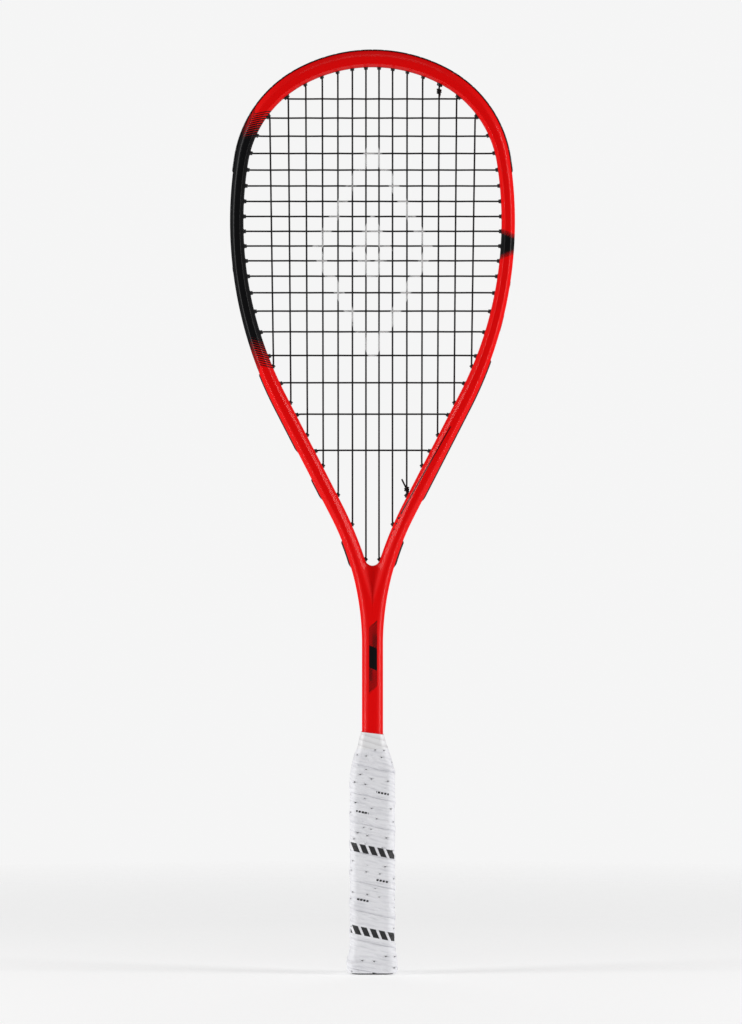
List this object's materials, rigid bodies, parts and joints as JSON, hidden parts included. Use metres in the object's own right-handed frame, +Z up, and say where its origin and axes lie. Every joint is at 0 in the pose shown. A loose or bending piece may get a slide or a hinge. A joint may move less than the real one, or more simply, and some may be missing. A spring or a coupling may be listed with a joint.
{
  "type": "squash racket",
  "caption": "Teardrop-headed squash racket with an open throat, strung and gripped, with a head bumper and grommet strips.",
  "frame": {"origin": "middle of the butt's flat end face", "axes": "+Z up along the racket from the butt to the crown of the head, +X to the right across the strings, +Y from the front face to the back face, square to the strings"},
  "size_m": [0.2112, 0.0318, 0.6858],
  "materials": {
    "frame_lacquer": "gloss",
    "strip_plastic": "satin",
    "string_nylon": "satin",
    "pallet_foam": "matte",
    "cap_plastic": "satin",
    "staple_steel": "satin",
    "grip_pu": "matte",
    "finish_tape": "satin"
  },
  "bodies": {
    "root": {"frame": "frame_lacquer", "head_bumper": "strip_plastic", "side_grommet_strip_left": "strip_plastic", "side_grommet_strip_right": "strip_plastic", "lower_grommet_strip_left": "strip_plastic", "lower_grommet_strip_right": "strip_plastic", "throat_grommet_strip_left": "strip_plastic", "throat_grommet_strip_right": "strip_plastic", "main_string": "string_nylon", "cross_string": "string_nylon", "tie_off_knots": "string_nylon", "handle_pallet": "pallet_foam", "butt_cap": "cap_plastic", "butt_cap_staples": "staple_steel", "grip_tape": "grip_pu", "finishing_tape": "finish_tape"}
  },
  "joints": []
}
